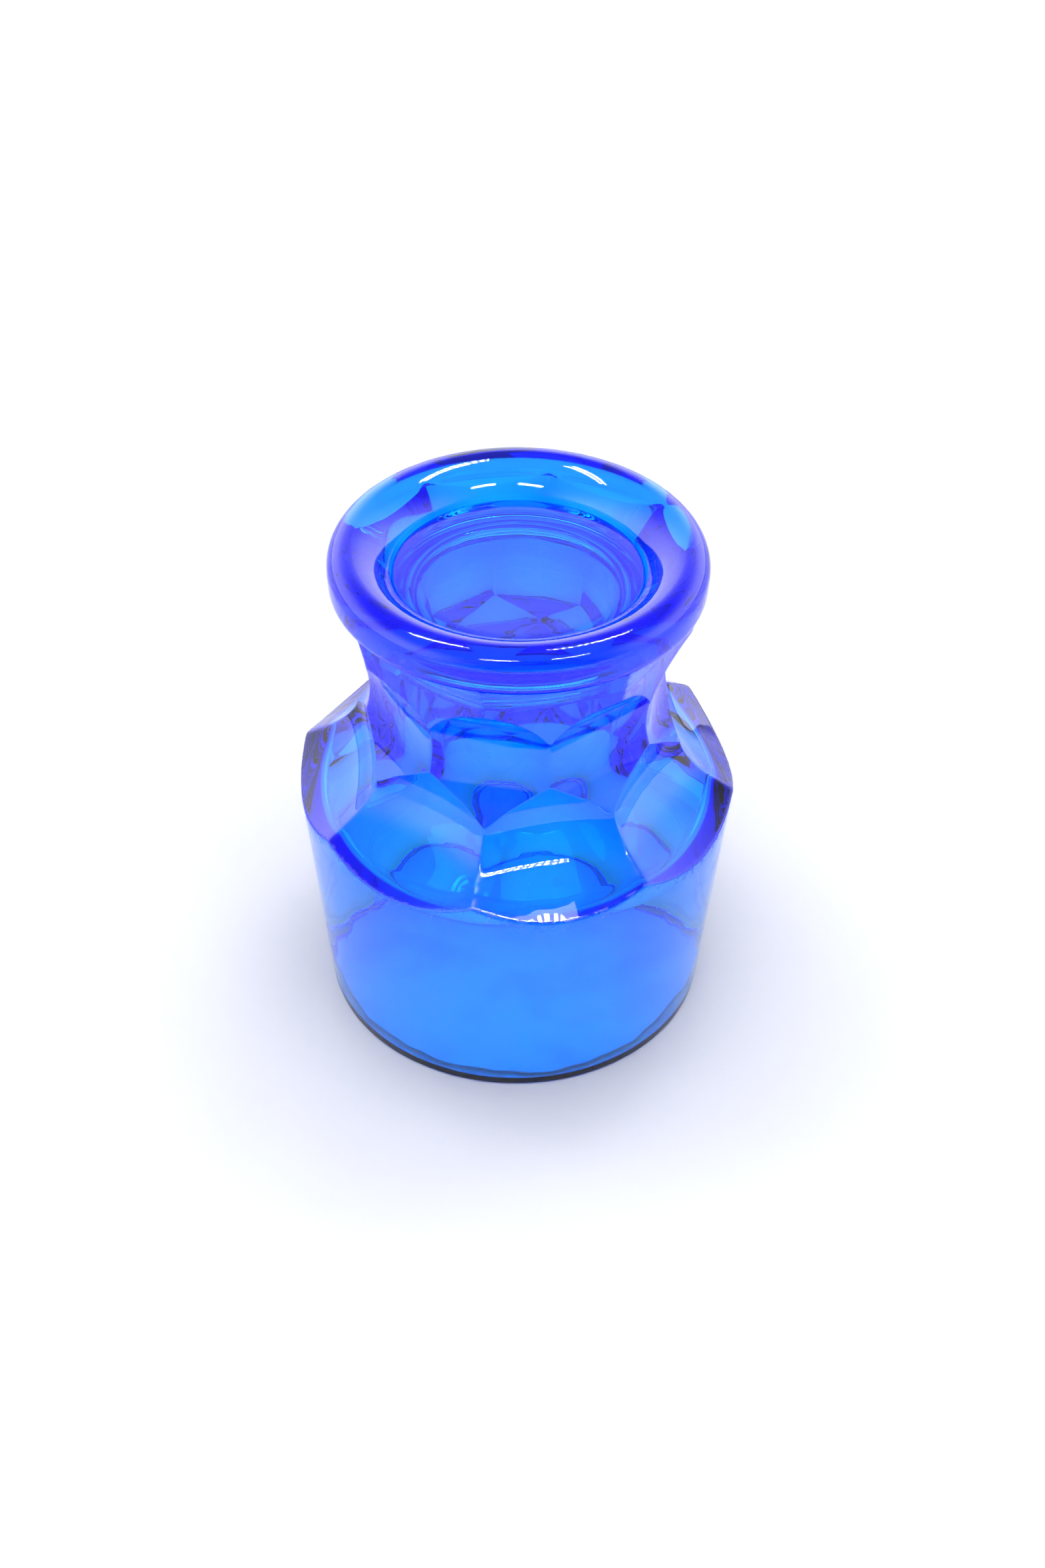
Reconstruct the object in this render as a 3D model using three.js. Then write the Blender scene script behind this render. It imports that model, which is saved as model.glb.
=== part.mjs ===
// Cut glass ink bottle with a faceted waist, closed by a round glass lid sunk in its mouth.
// Millimetres, +Z up. The origin is the centre of the base, on the table. A flute faces -Y.
import * as THREE from 'three';

// ---- Driving dimensions ----

// Outside of the body
const FLUTES = 8;             // hollow flutes over the shoulder, and again under the mouth disc
const BASE_R = 26.2;          // body radius at the base
const SHOULDER_R = 29;        // body radius at the corners of the shoulder
const CORNER_Z = 35;          // height of those corners, between two flutes
const BASE_EDGE = 0.6;        // rounding of the base edge

// Waist: facets that cut off the ridges between the flutes, each with its own hollow
const WAIST_R = 17.8;         // distance from the axis to a facet at its deepest
const WAIST_Z = 50.6;
const WAIST_HOLLOW_R = 12.2;  // radius of the hollow, seen from the side

// Mouth disc
const RIM_R = 23.6;           // largest radius of the disc
const RIM_BOTTOM_Z = 64.4;    // underside of the disc, where the upper flutes end
const RIM_TOP_Z = 70;         // highest point of the rim
const RIM_EDGE = 2.6;         // rounding of the disc's upper outer edge

// Inside of the body
const MOUTH_R = 15.9;         // straight part of the mouth, around the lid
const SEAT_Z = 59;            // ledge that the lid's seal rests on
const NECK_R = 13.8;          // bore of the neck
const INNER_R = 25;           // inside radius of the body
const CEILING_Z = 30;         // where the inner wall turns in under the shoulder
const CEILING_ROUND = 2.6;
const FLOOR_Z = 1;            // thickness of the base
const FLOOR_ROUND = 1;

// Lid, its seal and the ink
const LID_TOP_Z = 66;         // below the rim, so that the top looks like a shallow round recess
const LID_R = 15.5;
const LID_THICK = 5.8;        // at its edge
const LID_DISH = 0.4;         // hollow of the lid's top face
const LID_HOLLOW_R = 14.2;    // wide shallow hollow under the lid
const LID_HOLLOW = 1.7;
const SEAL_THICK = 0.6;       // flat clear ring under the lid
const SEAL_WIDTH = 1.2;
const CLEARANCE = 0.3;        // gap left between neighbouring pieces
const INK_DEPTH = 0.5;        // ink left on the floor
const INK_R = 22.6;

// Fineness of the meshes
const COLUMNS_PER_FLUTE = 8;
const COLUMNS = FLUTES * COLUMNS_PER_FLUTE;
const SHOULDER_ROWS = 10;
const WAIST_ROWS = 6;
const UPPER_ROWS = 4;

// ---- Materials ----

function glass(color, roughness) {
  return new THREE.MeshStandardMaterial({ color, roughness, metalness: 0 });
}

const COBALT_GLASS = glass(0x2b4dff, 0.05);
const LID_GLASS = glass(0x3a62ff, 0.05);
const CLEAR_SEAL = glass(0x9db8ff, 0.3);
const BLUE_INK = glass(0x2430b8, 0.35);

// ---- Outlines ----

const point = (r, z) => new THREE.Vector2(r, z);

// Part of a circle about (r, z), from one direction to another.
function round(r, z, radius, fromDegrees, toDegrees, steps) {
  const points = [];
  for (let i = 0; i <= steps; i++) {
    const angle = THREE.MathUtils.degToRad(fromDegrees + (toDegrees - fromDegrees) * i / steps);
    points.push(point(r + radius * Math.cos(angle), z + radius * Math.sin(angle)));
  }
  return points;
}

// Middle line of a shoulder flute: down the slope from the body's wall, in, and out again.
const shoulderLine = new THREE.SplineCurve([
  point(30.4, 31.3),
  point(28.9, 32.4),
  point(25.3, 35.1),
  point(21.8, 37.7),
  point(19.6, 40.6),
  point(19.1, 43),
  point(19.4, 45.2),
  point(20, 47.6),
  point(22, 52),
]);

// Middle line of an upper flute, which spreads out towards the disc.
const upperLine = new THREE.SplineCurve([
  point(19.5, 49),
  point(19.6, 52.8),
  point(19.9, 56.6),
  point(20.5, 60),
  point(21.4, RIM_BOTTOM_Z),
]);

// Height rises all along both lines, so halving finds the radius at a height.
function radiusOn(line, z) {
  let low = 0;
  let high = 1;
  for (let i = 0; i < 30; i++) {
    const middle = (low + high) / 2;
    if (line.getPoint(middle).y < z) low = middle;
    else high = middle;
  }
  return line.getPoint(low).x;
}

// ---- Cut surfaces, as a distance from the axis at a height ----
// "angle" is measured from the middle of the flute. A ridge lies half a flute away.

const HALF_FLUTE = Math.PI / FLUTES;
const SHOULDER_HOLLOW = 0.0124;   // rise of a shoulder flute at one millimetre from its middle

const wallRadius = (z) => BASE_R + (SHOULDER_R - BASE_R) * z / CORNER_Z;

function shoulderRadius(angle, z) {
  const middle = radiusOn(shoulderLine, z);
  const cos = Math.cos(angle);
  const bend = 4 * SHOULDER_HOLLOW * middle * Math.sin(angle) ** 2;
  return 2 * middle / (cos + Math.sqrt(cos * cos - bend));
}

function waistRadius(angle, z) {
  const hollow = Math.sqrt(WAIST_HOLLOW_R ** 2 - (z - WAIST_Z) ** 2);
  return (WAIST_R + WAIST_HOLLOW_R - hollow) / Math.cos(HALF_FLUTE - Math.abs(angle));
}

const upperRadius = (angle, z) => radiusOn(upperLine, z) / Math.cos(angle);

// Height between low and high where the first surface stops lying outside the second.
function crossing(first, second, low, high) {
  for (let i = 0; i < 30; i++) {
    const middle = (low + high) / 2;
    if (first(middle) > second(middle)) low = middle;
    else high = middle;
  }
  return (low + high) / 2;
}

// Points up one column of the faceted part, from the shoulder edge to under the disc.
function facetedColumn(angle) {
  const shoulder = (z) => shoulderRadius(angle, z);
  const waist = (z) => waistRadius(angle, z);
  const upper = (z) => upperRadius(angle, z);
  const edge = crossing(shoulder, wallRadius, 31.5, 37);
  const lower = crossing(waist, shoulder, 39, WAIST_Z);
  const higher = crossing(upper, waist, WAIST_Z, 62);
  const points = [];
  const climb = (surface, from, to, rows) => {
    for (let row = 0; row < rows; row++) {
      const z = from + (to - from) * row / rows;
      points.push(point(surface(z), z));
    }
  };
  climb(shoulder, edge, lower, SHOULDER_ROWS);
  climb(waist, lower, higher, WAIST_ROWS);
  climb(upper, higher, RIM_BOTTOM_Z, UPPER_ROWS);
  points.push(point(upper(RIM_BOTTOM_Z), RIM_BOTTOM_Z));
  return points;
}

// Angle of a column from the middle of its flute.
function angleInFlute(column) {
  const half = COLUMNS_PER_FLUTE / 2;
  return ((column + half) % COLUMNS_PER_FLUTE - half) * 2 * Math.PI / COLUMNS;
}

// ---- The bottle ----

const baseRows = [
  point(0, 0),
  ...round(wallRadius(BASE_EDGE) - BASE_EDGE, BASE_EDGE, BASE_EDGE, -90, 0, 3),
];

// The rim dishes down into the mouth, slowly first and then steeply.
const dishRows = [
  point(20.6, RIM_TOP_Z),
  point(19.6, 69.7),
  point(18.3, 69),
  point(17.2, 68.1),
  point(16.4, 67.2),
  point(MOUTH_R, 66.3),
];

const mouthRows = [
  point(RIM_R - 0.4, RIM_BOTTOM_Z + 0.3),
  point(RIM_R, RIM_BOTTOM_Z + 1.2),
  ...round(RIM_R - RIM_EDGE, RIM_TOP_Z - RIM_EDGE, RIM_EDGE, 0, 90, 5),
  ...dishRows,
  point(MOUTH_R, SEAT_Z),
  point(NECK_R, SEAT_Z),
  point(NECK_R, 44),
  point(14.9, 40.6),
  point(16.6, 37.6),
  point(19.2, 35.3),
  ...round(INNER_R - CEILING_ROUND, CEILING_Z, CEILING_ROUND, 55, 0, 3),
  ...round(INNER_R - FLOOR_ROUND, FLOOR_Z + FLOOR_ROUND, FLOOR_ROUND, 0, -90, 3),
  point(0, FLOOR_Z),
];

// A lathed outline whose faceted rows are then set column by column.
function bottleBody() {
  const facetedRows = facetedColumn(0);
  const rows = [...baseRows, ...facetedRows, ...mouthRows];
  const geometry = new THREE.LatheGeometry(rows, COLUMNS);
  const positions = geometry.attributes.position;
  for (let column = 0; column <= COLUMNS; column++) {
    const turn = (column % COLUMNS) * 2 * Math.PI / COLUMNS;
    const first = column * rows.length + baseRows.length;
    facetedColumn(angleInFlute(column)).forEach((p, row) => {
      positions.setXYZ(first + row, p.x * Math.sin(turn), p.y, p.x * Math.cos(turn));
    });
  }
  return geometry;
}

// ---- The lid and its seal ----

const lidBottomZ = LID_TOP_Z - LID_THICK;

function lid() {
  const edge = 0.4;
  return new THREE.LatheGeometry([
    point(0, lidBottomZ + LID_HOLLOW),
    point(LID_HOLLOW_R - 3, lidBottomZ + LID_HOLLOW),
    point(LID_HOLLOW_R - 1.2, lidBottomZ + LID_HOLLOW * 0.7),
    point(LID_HOLLOW_R, lidBottomZ),
    ...round(LID_R - edge, lidBottomZ + edge, edge, -90, 0, 2),
    ...round(LID_R - edge, LID_TOP_Z - edge, edge, 0, 90, 2),
    point(LID_R - 2.5, LID_TOP_Z - LID_DISH * 0.5),
    point(LID_R - 6, LID_TOP_Z - LID_DISH * 0.9),
    point(0, LID_TOP_Z - LID_DISH),
  ], COLUMNS);
}

function lidSeal() {
  const outer = MOUTH_R - CLEARANCE;
  const inner = outer - SEAL_WIDTH;
  const bottom = SEAT_Z + CLEARANCE;
  return new THREE.LatheGeometry([
    point(inner, bottom),
    point(outer, bottom),
    point(outer, bottom + SEAL_THICK),
    point(inner, bottom + SEAL_THICK),
    point(inner, bottom),
  ], COLUMNS);
}

// ---- The ink: a thin film on the floor, with a wandering edge ----

function inkFilm() {
  const steps = 96;
  const edge = Array.from({ length: steps }, (_, i) => {
    const turn = 2 * Math.PI * i / steps;
    const wander = Math.sin(3 * turn + 0.6) + 0.6 * Math.sin(7 * turn + 2) + 0.4 * Math.sin(13 * turn);
    const radius = INK_R + 0.6 * wander;
    return point(radius * Math.cos(turn), radius * Math.sin(turn));
  });
  return new THREE.ExtrudeGeometry(new THREE.Shape(edge), { depth: INK_DEPTH, bevelEnabled: false });
}

// ---- Assembly ----

const bottle = new THREE.Group();

function add(name, geometry, material) {
  const mesh = new THREE.Mesh(geometry, material);
  mesh.name = name;
  bottle.add(mesh);
  return mesh;
}

// Lathed pieces are turned about Y and stand up along Z.
const UPRIGHT = Math.PI / 2;
add('bottle_body', bottleBody(), COBALT_GLASS).rotation.x = UPRIGHT;
add('sunk_lid', lid(), LID_GLASS).rotation.x = UPRIGHT;
add('lid_seal', lidSeal(), CLEAR_SEAL).rotation.x = UPRIGHT;
add('ink_film', inkFilm(), BLUE_INK).position.z = FLOOR_Z + CLEARANCE;

export default bottle;
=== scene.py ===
"""A cut cobalt glass ink bottle with a faceted waist, standing on a pale table."""
import math

import bpy
from mathutils import Matrix, Vector


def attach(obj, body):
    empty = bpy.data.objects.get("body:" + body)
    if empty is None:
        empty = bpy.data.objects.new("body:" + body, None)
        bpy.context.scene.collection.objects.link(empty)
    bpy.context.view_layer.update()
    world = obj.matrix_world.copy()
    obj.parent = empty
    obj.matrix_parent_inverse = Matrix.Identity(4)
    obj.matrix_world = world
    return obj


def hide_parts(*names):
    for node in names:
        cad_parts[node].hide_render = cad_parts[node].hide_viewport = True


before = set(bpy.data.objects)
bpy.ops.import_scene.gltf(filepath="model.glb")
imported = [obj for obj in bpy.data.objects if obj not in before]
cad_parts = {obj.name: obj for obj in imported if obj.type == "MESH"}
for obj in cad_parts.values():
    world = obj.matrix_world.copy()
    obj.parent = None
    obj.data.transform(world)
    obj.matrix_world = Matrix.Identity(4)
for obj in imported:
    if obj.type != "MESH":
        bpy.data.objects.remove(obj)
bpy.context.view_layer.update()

MM = 0.001                       # shapes are in millimetres, the room is in metres

# ---- Outside of the body ----
FLUTES = 8
HALF_FLUTE = math.pi / FLUTES
BASE_R, SHOULDER_R, CORNER_Z = 26.2, 29.0, 35.0
BASE_EDGE = 0.35                 # rounding where the wall meets the table
BASE_RING_R = 10                 # first ring of the flat underside
SHOULDER_BEVEL = 0.35            # softening of the scalloped edge
SHOULDER_HOLLOW = 0.0124
SHOULDER_LINE = [(30.4, 31.3), (28.9, 32.4), (25.3, 35.1), (21.8, 37.7), (19.6, 40.6),
                 (19.1, 43), (19.4, 45.2), (20, 47.6), (22, 52)]
RIDGE_SOFT = 0.012               # radians over which a ridge is worn round
WAIST_R, WAIST_Z, WAIST_HOLLOW_R = 17.8, 50.6, 12.2
RIM_R, RIM_BOTTOM_Z, RIM_TOP_Z, RIM_EDGE = 23.6, 64.4, 70.0, 2.6
RIM_UNDERSIDE = [(0.9, 0.05), (0.4, 0.25), (0.1, 0.7), (0, 1.3)]    # inward and up from its corner
UPPER_LINE = [(19.5, 49), (19.6, 52.8), (19.9, 56.6), (20.5, 60), (21.4, RIM_BOTTOM_Z)]
MOUTH_LINE = [(20.6, 70), (19.6, 69.7), (18.3, 69.0), (17.2, 68.1), (16.4, 67.2), (15.95, 66.5),
              (15.9, 66.1)]      # from the rim down into the dished mouth

# Heights between which each crease is looked for
SCALLOP_FROM, SCALLOP_TO = 31.5, 37
LOWER_CREASE_FROM, UPPER_CREASE_TO = 39, 62

# ---- Inside of the body ----
MOUTH_R, SEAT_Z, NECK_R = 15.9, 59.0, 13.8
SEAT_CORNER, NECK_BEVEL = 0.15, 0.3
NECK_LINE = [(NECK_R, 58), (NECK_R, 52), (14.1, 45), (14.9, 40.6), (16.6, 37.6), (19.2, 35.3)]
INNER_R, CEILING_Z, CEILING_ROUND = 25.0, 30.0, 2.6
CEILING_START = 55               # degrees above level where the neck runs into the ceiling
FLOOR_Z, FLOOR_ROUND, FLOOR_RING_R = 0.5, 0.4, 14

# ---- Lid and seal ----
LID_R, LID_TOP_Z, LID_THICK, LID_DISH, LID_EDGE = 15.75, 66.0, 6.0, 0.4, 0.5
LID_TOP_RINGS = (13, 10, 7, 4)
LID_HOLLOW_R, LID_HOLLOW, LID_HOLLOW_ROUND = 14.2, 1.8, 2
LID_CEILING_RINGS = (5, LID_HOLLOW_R - 3)
LID_LIP = 0.1                    # bevel of the hollow's lower edge
SEAL_BOTTOM_Z, SEAL_TOP_Z, SEAL_INNER_R, SEAL_OUTER_R = 59.1, 59.9, 14.4, 15.6

# ---- Ink film: a pale sheet of painted light under the glass, with a painted shadow edge ----
INK_Z, INK_DEPTH, INK_R = 0.55, 0.2, 23.7
INK_WAVES = [(3, 0.6, 0.2), (5, 2.0, 0.2), (11, 0.4, 0.17), (23, 1.0, 0.1),
             (37, 2.2, 0.06)]    # count round the edge, phase, size
INK_STEPS = 288
INK_BANDS = [1.0, 0.99, 0.975, 0.6]
SHADOW_EDGE_STRENGTH = [1.0, 1.0, 0.15, 0.0]             # painted shadow at each of those bands
SHADOW_EDGE_FADE_Y, SHADOW_EDGE_FADE_LENGTH = -3, 10            # the painted shadow edge faded out at the front

# ---- Fineness of the meshes ----
WALL_ROWS, BEVEL_ROWS = 11, 6
SHOULDER_ROWS, WAIST_ROWS, UPPER_ROWS = 22, 16, 14
CREASE_SOFT = 0.13               # distance of the rows beside a crease
RIM_ROWS, MOUTH_STEPS, NECK_STEPS, ROUND_ROWS = 12, 16, 26, 6
LOOKUP_ROWS = 400                # heights at which an outline is looked up
HALVINGS = 26
NEAR_RIDGE = [0, 0.006, 0.012, 0.02, 0.035, 0.06, 0.1, 0.15]
QUARTER_WAY = 0.197              # radians, the column between the close ones
IN_FLUTE = NEAR_RIDGE + [QUARTER_WAY] + [HALF_FLUTE - a for a in reversed(NEAR_RIDGE)]
COLUMNS = [(2 * k - 1) * HALF_FLUTE + a
           for k in range(FLUTES)
           for a in IN_FLUTE[:-1] + [2 * HALF_FLUTE - b for b in IN_FLUTE[:0:-1]]]

# ---- Materials ----
COBALT = (0.88, 0.185, 0.001)    # absorbed per millimetre: red, green, blue
GLASS_IOR = 1.52
SEAL_IOR, SEAL_ROUGHNESS, SEAL_TINT = 1.45, 0.03, 0.25
HANDLED_SCALE, HANDLED_FROM, HANDLED_TO, HANDLED_ROUGHNESS = 140, 0.52, 0.75, 0.05
SCUFF_SCALE, SCUFF_FROM, SCUFF_TO = 900, 0.4, 0.65
SCUFF_ROUGHNESS, EDGE_ROUGHNESS = 0.05, 0.4
RIDGE_WEAR = 0.7                 # of the wear on the scalloped edge
WAVE_SCALE, WAVE_DEPTH = 260, 0.012
PIT_SCALE, PIT_SIZE, PIT_DEPTH, PIT_STRENGTH = 520.0, 0.16, 0.004, 0.5
# Ink sheet: the pale blue is painted light that lightens the glass above it; the dark blue is
# painted shadow at the edge and darkens random patches
PAINTED_LIGHT_PALE_BLUE, DARK_PATCH_AND_PAINTED_SHADOW_BLUE = (0.24, 0.62, 1, 1), (0.12, 0.10, 0.8, 1)
PATCH_SCALE, PATCH_FROM, PATCH_TO, PATCH_DARKNESS = 90, 0.45, 0.75, 0.25
INK_GRAIN_SCALE, INK_GRAIN_FROM, INK_GRAIN_TO = 300, 0.3, 0.8
INK_ROUGHNESS = (0.5, 0.7)

# ---- Table: colours, with painted light round, beneath and far from the bottle, and the distances in metres over which they change ----
TABLE, TABLE_GAP = 24.0, 0.0001
TABLE_COLOUR = (0.315, 0.318, 0.321, 1)
TABLE_PAINTED_GLOW, GLOW_FROM, GLOW_TO = (0.278, 0.284, 0.318, 1), 0.028, 0.085     # painted lavender light round the base
TABLE_PAINTED_LIGHT_UNDER, UNDER_FROM, UNDER_TO = (0.75, 0.82, 1, 1), 0.0235, 0.026       # painted pale light beneath the bottle
# Painted light: the table grows lighter far from the bottle
TABLE_FAR_PAINTED_LIGHTER, FAR_FROM, FAR_TO = (0.8, 0.8, 0.8, 1), 0.25, 0.9
TABLE_ROUGHNESS, TABLE_SHINE = 0.7, 0.2

# ---- Light ----
WORLD_FRONT, WORLD_BACK, WORLD_TOP = 0.04, 1.2, 0.14
FRONT_FADE, TOP_FADE = (-0.9, -0.2), (0.3, 0.75)
LAMP_HEIGHT = 0.35
LAMP_SIZE = (0.11, 0.035)
LAMP_PLACES = [(-0.10, -0.22), (0.10, -0.22), (-0.10, 0.07), (0.10, 0.07)]
LAMP_GLOW, LAMP_DIM = 55.0, 2.0  # at a dot and between dots
LAMP_COLOUR = (0.8, 0.8, 0.8, 1)
DOT_STEP = (0.0085, 0.0175)
DOT_FROM, DOT_TO = 0.2, 0.3      # shares of a step over which a dot lights up
SOFT_POWER, SOFT_SIZE, SOFT_HEIGHT = 11.0, 1.0, 0.8
WHITE = (1, 1, 1, 1)
LIGHT_BOUNCES = 28               # light passes many glass surfaces
EXPOSURE = 1.05

# ---- Camera ----
CAMERA_LENS, SENSOR_WIDTH, CLIP_START = 47.19, 36, 0.01
CAMERA_DISTANCE = 0.27658
CAMERA_ELEVATION = math.radians(41.08)
CAMERA_AZIMUTH = math.radians(-12.16)
CAMERA_ROLL = math.radians(0.698)
AIM_X, AIM_Z = 0.00082, 0.03083


# ---- Outlines, as lists of (radius, height) ----
def spline(points, t):
    """Point on a smooth line through the points, for t from 0 to 1."""
    along = t * (len(points) - 1)
    i = min(int(along), len(points) - 2)
    w = along - i
    near = [points[max(0, min(len(points) - 1, i + k))] for k in (-1, 0, 1, 2)]

    def mix(a, b, c, d):
        return b + 0.5 * w * (c - a + w * (2 * a - 5 * b + 4 * c - d + w * (3 * (b - c) + d - a)))
    return tuple(mix(*axis) for axis in zip(*near))


def smooth(points, steps):
    return [spline(points, i / steps) for i in range(steps + 1)]


def halve(below, low, high):
    """Where below(x) turns from true to false between low and high."""
    for _ in range(HALVINGS):
        middle = (low + high) / 2
        if below(middle):
            low = middle
        else:
            high = middle
    return (low + high) / 2


def lookup(points):
    """Radius on a rising line as a function of height, read from a fine table."""
    rows = smooth(points, LOOKUP_ROWS)

    def radius(z):
        low, high = 0, LOOKUP_ROWS
        while high - low > 1:
            middle = (low + high) // 2
            if rows[middle][1] < z:
                low = middle
            else:
                high = middle
        (r0, z0), (r1, z1) = rows[low], rows[high]
        return r0 + (r1 - r0) * (z - z0) / (z1 - z0)
    return radius


def arc(r, z, radius, start, end, steps):
    """Part of a circle round (r, z), from one angle in degrees to another."""
    angles = [math.radians(start + (end - start) * i / steps) for i in range(steps + 1)]
    return [(r + radius * math.cos(a), z + radius * math.sin(a)) for a in angles]


def straight(start, end, steps):
    return [tuple(a + (b - a) * i / steps for a, b in zip(start, end)) for i in range(steps + 1)]


# ---- Cut surfaces: radius at an angle from the middle of a flute, and a height ----
shoulder_middle = lookup(SHOULDER_LINE)
upper_middle = lookup(UPPER_LINE)


def wall_radius(z):
    return BASE_R + (SHOULDER_R - BASE_R) * z / CORNER_Z


def from_ridge(angle):
    """Angle in the flute, eased where it meets its neighbour."""
    away = HALF_FLUTE - abs(angle)
    return max(0.0, HALF_FLUTE - math.hypot(away, RIDGE_SOFT))


def shoulder_radius(angle, z):
    middle = shoulder_middle(z)
    cos, sin = math.cos(from_ridge(angle)), math.sin(from_ridge(angle))
    return 2 * middle / (cos + math.sqrt(cos * cos - 4 * SHOULDER_HOLLOW * middle * sin * sin))


def waist_radius(angle, z):
    """The waist facets are turned half a flute, so their ridges are at the flutes' middles."""
    hollow = math.sqrt(WAIST_HOLLOW_R ** 2 - (z - WAIST_Z) ** 2)
    away = max(0.0, HALF_FLUTE - math.hypot(angle, RIDGE_SOFT))
    return (WAIST_R + WAIST_HOLLOW_R - hollow) / math.cos(away)


def upper_radius(angle, z):
    return upper_middle(z) / math.cos(from_ridge(angle))


def climb(surface, angle, start, end, rows):
    """Rows up a surface, with close ones at both ends to keep the creases crisp."""
    heights = [start + CREASE_SOFT]
    heights += [start + (end - start) * i / rows for i in range(1, rows)]
    heights += [end - CREASE_SOFT]
    return [(surface(angle, z), z) for z in heights]


def bevel(start, corner, end):
    """A curve that leaves start and reaches end, pulled towards the corner."""
    rows = []
    for i in range(BEVEL_ROWS):
        t = i / (BEVEL_ROWS - 1)
        rows.append(tuple((1 - t) ** 2 * a + 2 * t * (1 - t) * b + t * t * c
                          for a, b, c in zip(start, corner, end)))
    return rows


def faceted_column(angle):
    """The wall, the softened scallop edge and the three tiers of facets."""
    edge = halve(lambda z: shoulder_radius(angle, z) > wall_radius(z), SCALLOP_FROM, SCALLOP_TO)
    lower = halve(lambda z: waist_radius(angle, z) > shoulder_radius(angle, z),
                  LOWER_CREASE_FROM, WAIST_Z)
    higher = halve(lambda z: upper_radius(angle, z) > waist_radius(angle, z),
                   WAIST_Z, UPPER_CREASE_TO)
    corner = (wall_radius(edge), edge)
    start = (wall_radius(edge - SHOULDER_BEVEL), edge - SHOULDER_BEVEL)
    top = halve(lambda z: math.dist((shoulder_radius(angle, z), z), corner) < SHOULDER_BEVEL,
                edge, edge + 1)
    rows = [(wall_radius(z), z)
            for _, z in straight((0, BASE_EDGE), (0, start[1]), WALL_ROWS + 1)[1:-1]]
    rows += bevel(start, corner, (shoulder_radius(angle, top), top))
    rows += climb(shoulder_radius, angle, top, lower, SHOULDER_ROWS)
    rows += [(waist_radius(angle, lower), lower)]
    rows += climb(waist_radius, angle, lower, higher, WAIST_ROWS)
    rows += [(waist_radius(angle, higher), higher)]
    rows += climb(upper_radius, angle, higher, RIM_BOTTOM_Z, UPPER_ROWS)
    return rows + [(upper_radius(angle, RIM_BOTTOM_Z), RIM_BOTTOM_Z)]


def angle_in_flute(turn):
    return (turn + HALF_FLUTE) % (2 * HALF_FLUTE) - HALF_FLUTE


# ---- Meshes ----
def add_mesh(name, verts, faces):
    mesh = bpy.data.meshes.new(name)
    mesh.from_pydata([tuple(v * MM for v in p) for p in verts], [], faces)
    mesh.validate()
    mesh.shade_smooth()
    obj = bpy.data.objects.new(name, mesh)
    bpy.context.scene.collection.objects.link(obj)
    return obj


def turned(name, column_rows):
    """A closed body of rows round the axis. column_rows(turn) starts and ends on the axis."""
    columns = [column_rows(turn) for turn in COLUMNS]
    count = len(columns[0]) - 2
    verts = [(0, 0, columns[0][0][1])]
    for turn, rows in zip(COLUMNS, columns):
        verts += [(r * math.sin(turn), -r * math.cos(turn), z) for r, z in rows[1:-1]]
    verts.append((0, 0, columns[0][-1][1]))
    faces = []
    for i in range(len(COLUMNS)):
        a = 1 + i * count
        b = 1 + (i + 1) % len(COLUMNS) * count
        faces.append((0, b, a))
        faces += [(a + j, b + j, b + j + 1, a + j + 1) for j in range(count - 1)]
        faces.append((len(verts) - 1, a + count - 1, b + count - 1))
    return add_mesh(name, verts, faces)


def ring(name, outline):
    """A closed ring from an outline that doesn't touch the axis."""
    count = len(outline)
    verts = [(r * math.sin(t), -r * math.cos(t), z) for t in COLUMNS for r, z in outline]
    faces = []
    for i in range(len(COLUMNS)):
        a, b = i * count, (i + 1) % len(COLUMNS) * count
        faces += [(a + j, b + j, b + (j + 1) % count, a + (j + 1) % count) for j in range(count)]
    return add_mesh(name, verts, faces)


def plane(name, size, location):
    x, y = (s / 2 for s in size)
    obj = add_mesh(name, [(sx * x / MM, sy * y / MM, 0) for sx, sy in
                          ((-1, -1), (1, -1), (1, 1), (-1, 1))], [(0, 1, 2, 3)])
    obj.location = location
    return obj


# ---- Pieces ----
def bottle_body():
    foot_r = wall_radius(BASE_EDGE) - BASE_EDGE
    base = [(0, 0)] + straight((BASE_RING_R, 0), (foot_r, 0), 3)[:-1]
    base += arc(foot_r, BASE_EDGE, BASE_EDGE, -90, 0, ROUND_ROWS)
    top = [(RIM_R - inward, RIM_BOTTOM_Z + up) for inward, up in RIM_UNDERSIDE]
    top += arc(RIM_R - RIM_EDGE, RIM_TOP_Z - RIM_EDGE, RIM_EDGE, 0, 90, RIM_ROWS)
    top += smooth(MOUTH_LINE, MOUTH_STEPS)
    top += straight(MOUTH_LINE[-1], (MOUTH_R, SEAT_Z + SEAT_CORNER), 4)[1:]
    top += [(MOUTH_R, SEAT_Z), (MOUTH_R - SEAT_CORNER, SEAT_Z), (NECK_R + NECK_BEVEL, SEAT_Z),
            (NECK_R, SEAT_Z - NECK_BEVEL)]
    top += smooth(NECK_LINE, NECK_STEPS)
    top += arc(INNER_R - CEILING_ROUND, CEILING_Z, CEILING_ROUND, CEILING_START, 0, ROUND_ROWS)
    top += straight((INNER_R, CEILING_Z), (INNER_R, FLOOR_Z + FLOOR_ROUND), 6)[1:-1]
    top += arc(INNER_R - FLOOR_ROUND, FLOOR_Z + FLOOR_ROUND, FLOOR_ROUND, 0, -90, ROUND_ROWS)
    top += [(FLOOR_RING_R, FLOOR_Z), (0, FLOOR_Z)]
    body = turned("cobalt_bottle", lambda turn: base + faceted_column(angle_in_flute(turn)) + top)
    mark_wear(body, len(base) + WALL_ROWS, len(base) + len(faceted_column(0)))
    return body


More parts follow.
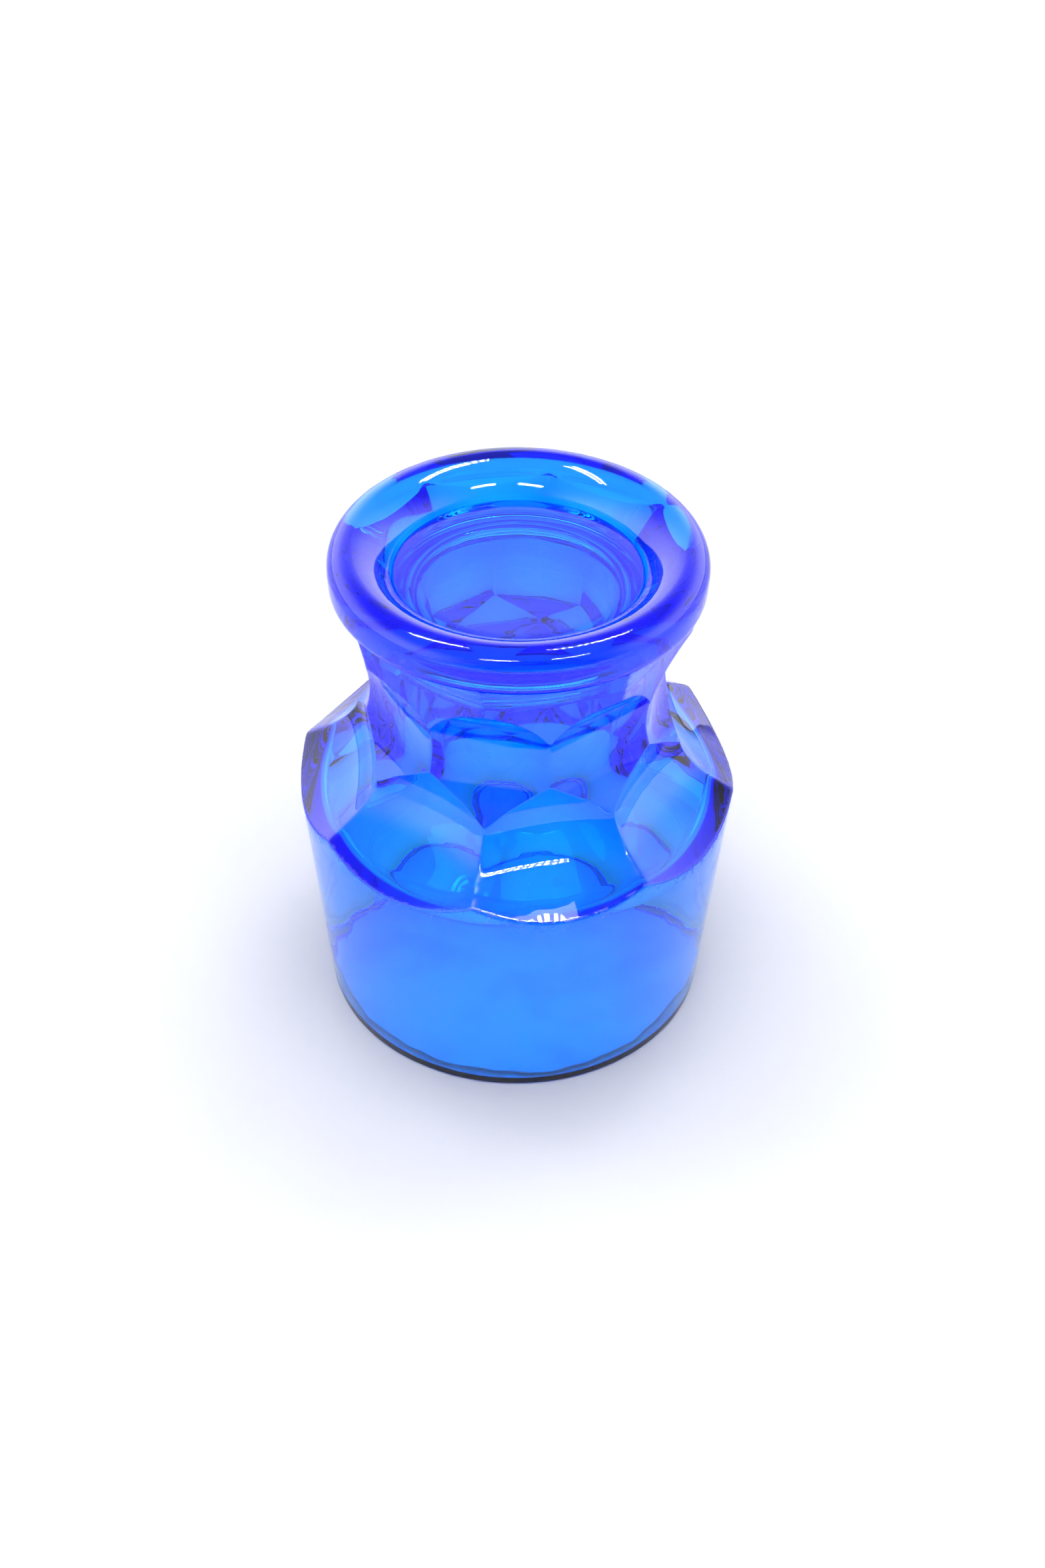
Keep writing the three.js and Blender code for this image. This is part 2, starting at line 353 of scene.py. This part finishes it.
def mark_wear(body, first, end):
    """Marks the scalloped edge and the ridges above it, where handling has dulled the glass."""
    worn = body.data.attributes.new("worn", "FLOAT", "POINT")
    count = (len(body.data.vertices) - 2) // len(COLUMNS)
    for column, turn in enumerate(COLUMNS):
        ridge = max(0.0, 1 - (HALF_FLUTE - abs(angle_in_flute(turn))) / (2 * RIDGE_SOFT))
        for row in range(first, end):
            on_bevel = row < first + BEVEL_ROWS
            worn.data[column * count + row].value = 1.0 if on_bevel else RIDGE_WEAR * ridge


def sunk_lid():
    bottom = LID_TOP_Z - LID_THICK
    ceiling = bottom + LID_HOLLOW
    rows = [(0, ceiling)] + [(r, ceiling) for r in LID_CEILING_RINGS]
    rows += arc(LID_HOLLOW_R - LID_HOLLOW_ROUND, ceiling - LID_HOLLOW_ROUND, LID_HOLLOW_ROUND,
                80, 10, ROUND_ROWS)
    rows += [(LID_HOLLOW_R, bottom + LID_LIP), (LID_HOLLOW_R + LID_LIP, bottom)]
    rows += arc(LID_R - LID_EDGE, bottom + LID_EDGE, LID_EDGE, -90, 0, 4)
    rows += arc(LID_R - LID_EDGE, LID_TOP_Z - LID_EDGE, LID_EDGE, 0, 90, 5)
    rows += [(r, LID_TOP_Z - LID_DISH * math.cos(math.pi / 2 * r / LID_R)) for r in LID_TOP_RINGS]
    return turned("cobalt_lid", lambda turn: rows + [(0, LID_TOP_Z - LID_DISH)])


def lid_seal():
    half = (SEAL_TOP_Z - SEAL_BOTTOM_Z) / 2
    middle = SEAL_BOTTOM_Z + half
    outline = arc(SEAL_OUTER_R - half, middle, half, -90, 90, ROUND_ROWS)
    outline += arc(SEAL_INNER_R + half, middle, half, 90, 270, ROUND_ROWS)
    return ring("clear_seal", outline)


def ink_film():
    """A thin film whose edge wanders: a pale sheet of painted light, with an outer band marked for
    a painted shadow edge.
    """
    def edge(turn):
        return INK_R + sum(size * math.sin(n * turn + phase) for n, phase, size in INK_WAVES)
    turns = [2 * math.pi * i / INK_STEPS for i in range(INK_STEPS)]
    verts = [(0, 0, INK_Z)]
    for z in (INK_Z, INK_Z + INK_DEPTH):
        for band in INK_BANDS:
            verts += [(band * edge(t) * math.cos(t), band * edge(t) * math.sin(t), z)
                      for t in turns]
    verts.append((0, 0, INK_Z + INK_DEPTH))
    bands = len(INK_BANDS)
    under = [1 + k * INK_STEPS for k in range(bands)]
    over = [1 + (bands + k) * INK_STEPS for k in range(bands)]
    faces = []
    for i in range(INK_STEPS):
        j = (i + 1) % INK_STEPS
        faces.append((under[0] + i, under[0] + j, over[0] + j, over[0] + i))
        for k in range(bands - 1):
            faces.append((under[k] + i, under[k + 1] + i, under[k + 1] + j, under[k] + j))
            faces.append((over[k] + i, over[k] + j, over[k + 1] + j, over[k + 1] + i))
        faces.append((0, under[-1] + j, under[-1] + i))
        faces.append((len(verts) - 1, over[-1] + i, over[-1] + j))
    obj = add_mesh("ink_sheet_painted_light_and_shadow", verts, faces)
    edge_shade = obj.data.attributes.new("painted_shadow_edge", "FLOAT", "POINT")
    edge_shade_values = [value for value in SHADOW_EDGE_STRENGTH for _ in range(INK_STEPS)]
    for i, value in enumerate([0.0] + edge_shade_values + edge_shade_values + [0.0]):
        # the painted shadow edge fades out towards the front
        backward = min(1.0, max(0.0, (verts[i][1] - SHADOW_EDGE_FADE_Y) / SHADOW_EDGE_FADE_LENGTH))
        edge_shade.data[i].value = value * backward
    return obj


# ---- Materials ----
class Nodes:
    """Short way to add nodes to a material or a world and to link them."""

    COLOUR_FIRST, COLOUR_SECOND, COLOUR_RESULT = 6, 7, 2     # sockets of a Mix node for colours

    def __init__(self, owner, shader="Principled BSDF"):
        owner.use_nodes = True
        self.tree = owner.node_tree
        self.shader = self.tree.nodes[shader]

    def add(self, kind, settings=None, **inputs):
        node = self.tree.nodes.new("ShaderNode" + kind)
        for key, value in (settings or {}).items():
            setattr(node, key, value)
        for key, value in inputs.items():
            self.set(node, key.replace("_", " "), value)
        return node

    def set(self, node, socket, value):
        """Links or fills a socket, given by its name or its number."""
        if isinstance(value, bpy.types.NodeSocket):
            self.tree.links.new(value, node.inputs[socket])
        else:
            node.inputs[socket].default_value = value

    def position(self):
        return self.add("TexCoord").outputs["Object"]

    def attribute(self, name):
        return self.add("Attribute", {"attribute_name": name}).outputs["Fac"]

    def maths(self, operation, *values):
        node = self.add("Math", {"operation": operation})
        for i, value in enumerate(values):
            self.set(node, i, value)
        return node.outputs["Value"]

    def blended(self, factor, first, second):
        node = self.add("Mix", {"data_type": "RGBA"}, Factor=factor)
        self.set(node, self.COLOUR_FIRST, first)
        self.set(node, self.COLOUR_SECOND, second)
        return node.outputs[self.COLOUR_RESULT]

    def noise(self, scale, detail=2.0):
        node = self.add("TexNoise", Vector=self.position(), Scale=scale, Detail=detail)
        return node.outputs["Fac"]

    def mapped(self, value, low, high, to_low, to_high, interpolation="LINEAR"):
        node = self.add("MapRange", {"interpolation_type": interpolation}, Value=value,
                        From_Min=low, From_Max=high, To_Min=to_low, To_Max=to_high)
        return node.outputs["Result"]


def cobalt_glass(name, absorbed, ior=GLASS_IOR, roughness=0.0):
    """Clear glass that takes colour from its thickness. absorbed is per millimetre."""
    material = bpy.data.materials.new(name)
    nodes = Nodes(material)
    shader = nodes.shader
    nodes.set(shader, "Base Color", WHITE)
    nodes.set(shader, "IOR", ior)
    nodes.set(shader, "Transmission Weight", 1.0)
    handled = nodes.mapped(nodes.noise(HANDLED_SCALE, 3), HANDLED_FROM, HANDLED_TO,
                           roughness, roughness + HANDLED_ROUGHNESS)
    scuffs = nodes.mapped(nodes.noise(SCUFF_SCALE, 3), SCUFF_FROM, SCUFF_TO,
                          SCUFF_ROUGHNESS, EDGE_ROUGHNESS)
    worn = nodes.attribute("worn")
    nodes.set(shader, "Roughness", nodes.maths("MULTIPLY_ADD", worn, scuffs, handled))
    waves = nodes.add("Bump", Strength=1.0, Distance=WAVE_DEPTH * MM,
                      Height=nodes.noise(WAVE_SCALE, 1))
    pits = nodes.add("TexVoronoi", Vector=nodes.position(), Scale=PIT_SCALE)
    dents = nodes.mapped(pits.outputs["Distance"], 0.0, PIT_SIZE, -1.0, 0.0)
    pitted = nodes.add("Bump", Strength=PIT_STRENGTH, Distance=PIT_DEPTH * MM, Height=dents,
                       Normal=waves.outputs["Normal"])
    nodes.set(shader, "Normal", pitted.outputs["Normal"])
    densest = max(absorbed) / MM
    colour = [1 - a / MM / densest for a in absorbed] + [1]
    volume = nodes.add("VolumeAbsorption", Color=colour, Density=densest)
    nodes.set(nodes.tree.nodes["Material Output"], "Volume", volume.outputs["Volume"])
    return material


def ink(name):
    """Opaque pale blue that paints light under the glass, darker in random patches and at the
    painted shadow edge.
    """
    material = bpy.data.materials.new(name)
    nodes = Nodes(material)
    patches = nodes.mapped(nodes.noise(PATCH_SCALE), PATCH_FROM, PATCH_TO, 0, PATCH_DARKNESS)
    # random dark patches plus the painted shadow edge
    patches_and_painted_shadow = nodes.maths("ADD", patches, nodes.attribute("painted_shadow_edge"))
    nodes.set(nodes.shader, "Base Color", nodes.blended(patches_and_painted_shadow, PAINTED_LIGHT_PALE_BLUE, DARK_PATCH_AND_PAINTED_SHADOW_BLUE))
    grain = nodes.mapped(nodes.noise(INK_GRAIN_SCALE), INK_GRAIN_FROM, INK_GRAIN_TO,
                         *INK_ROUGHNESS)
    nodes.set(nodes.shader, "Roughness", grain)
    return material


# ---- Table, light and camera ----
def table():
    obj = plane("table", (TABLE, TABLE), (0, 0, -TABLE_GAP))
    material = bpy.data.materials.new("pale table")
    nodes = Nodes(material)
    away = nodes.add("VectorMath", {"operation": "LENGTH"}, Vector=nodes.position())
    away = away.outputs["Value"]
    # painted light: lighter far from the bottle
    lightened_far_off = nodes.blended(nodes.mapped(away, FAR_FROM, FAR_TO, 0, 1), TABLE_COLOUR, TABLE_FAR_PAINTED_LIGHTER)
    # painted lavender light on the table round the base
    near = nodes.blended(nodes.mapped(away, GLOW_FROM, GLOW_TO, 1, 0), lightened_far_off, TABLE_PAINTED_GLOW)
    # painted pale light on the table beneath the bottle
    colour = nodes.blended(nodes.mapped(away, UNDER_FROM, UNDER_TO, 1, 0), near, TABLE_PAINTED_LIGHT_UNDER)
    nodes.set(nodes.shader, "Base Color", colour)
    nodes.set(nodes.shader, "Roughness", TABLE_ROUGHNESS)
    nodes.set(nodes.shader, "Specular IOR Level", TABLE_SHINE)
    obj.data.materials.append(material)
    return obj


def lamp_bar(name, x, y):
    """A strip lamp with two rows of bright dots."""
    obj = plane(name, LAMP_SIZE, (x, y, LAMP_HEIGHT))
    obj.rotation_euler = (math.pi, 0, 0)
    material = bpy.data.materials.new(name)
    nodes = Nodes(material)
    place = nodes.add("SeparateXYZ", Vector=nodes.position())

    def lit(axis, step):
        wave = nodes.maths("PINGPONG", place.outputs[axis], step / 2)
        return nodes.mapped(wave, step * DOT_FROM, step * DOT_TO, 0.0, 1.0)
    dots = nodes.maths("MULTIPLY", lit("X", DOT_STEP[0]), lit("Y", DOT_STEP[1]))
    nodes.set(nodes.shader, "Base Color", LAMP_COLOUR)
    nodes.set(nodes.shader, "Emission Color", WHITE)
    nodes.set(nodes.shader, "Emission Strength", nodes.mapped(dots, 0, 1, LAMP_DIM, LAMP_GLOW))
    obj.data.materials.append(material)
    return obj


def soft_light():
    """A wide light overhead that the glass doesn't mirror."""
    light = bpy.data.lights.new("soft light", "AREA")
    light.shape, light.energy = "RECTANGLE", SOFT_POWER
    light.size, light.size_y = SOFT_SIZE, SOFT_SIZE
    obj = bpy.data.objects.new("soft light", light)
    obj.location = (0, 0, SOFT_HEIGHT)
    obj.visible_glossy = False
    bpy.context.scene.collection.objects.link(obj)
    return obj


def surroundings():
    """White room, darker overhead and behind the camera."""
    world = bpy.data.worlds.new("pale room")
    bpy.context.scene.world = world
    nodes = Nodes(world, "Background")
    direction = nodes.add("TexCoord").outputs["Generated"]
    place = nodes.add("SeparateXYZ", Vector=direction)
    across = nodes.mapped(place.outputs["Y"], *FRONT_FADE, WORLD_FRONT, WORLD_BACK, "SMOOTHSTEP")
    upward = nodes.mapped(place.outputs["Z"], *TOP_FADE, 1.0, WORLD_TOP, "SMOOTHSTEP")
    nodes.set(nodes.shader, "Color", WHITE)
    nodes.set(nodes.shader, "Strength", nodes.maths("MULTIPLY", across, upward))


def camera():
    back = Vector((0, -math.cos(CAMERA_ELEVATION), math.sin(CAMERA_ELEVATION)))
    place = Vector((AIM_X, 0, AIM_Z)) + CAMERA_DISTANCE * back
    up = Vector((1, 0, 0)).cross(-back)
    level = Matrix((Vector((1, 0, 0)), up, back)).transposed()
    rolled = level @ Matrix.Rotation(CAMERA_ROLL, 3, "Z")
    data = bpy.data.cameras.new("camera")
    data.lens, data.sensor_width, data.clip_start = CAMERA_LENS, SENSOR_WIDTH, CLIP_START
    obj = bpy.data.objects.new("camera", data)
    bpy.context.scene.collection.objects.link(obj)
    obj.matrix_world = (Matrix.Rotation(CAMERA_AZIMUTH, 4, "Z") @ Matrix.Translation(place)
                        @ rolled.to_4x4())
    bpy.context.scene.camera = obj


# ---- Assembly ----
def place_piece(obj, node, body, material):
    obj.data.materials.append(material)
    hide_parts(node)
    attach(obj, body)


glass = cobalt_glass("cobalt glass", COBALT)
seal_glass = cobalt_glass("clear seal", [a * SEAL_TINT for a in COBALT], SEAL_IOR, SEAL_ROUGHNESS)
place_piece(bottle_body(), "bottle_body", "bottle", glass)
place_piece(sunk_lid(), "sunk_lid", "lid", cobalt_glass("lid glass", COBALT))
place_piece(lid_seal(), "lid_seal", "lid", seal_glass)
# The ink film is a pale sheet of painted light with a painted shadow edge
place_piece(ink_film(), "ink_film", "bottle", ink("blue ink painted light and shadow"))

table()
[lamp_bar("strip_lamp_%d" % i, x, y) for i, (x, y) in enumerate(LAMP_PLACES)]
soft_light()
surroundings()
camera()
scene = bpy.context.scene
scene.view_settings.view_transform = "Standard"
scene.view_settings.exposure = EXPOSURE
scene.cycles.max_bounces = LIGHT_BOUNCES
scene.cycles.transmission_bounces = LIGHT_BOUNCES
scene.cycles.glossy_bounces = LIGHT_BOUNCES // 2
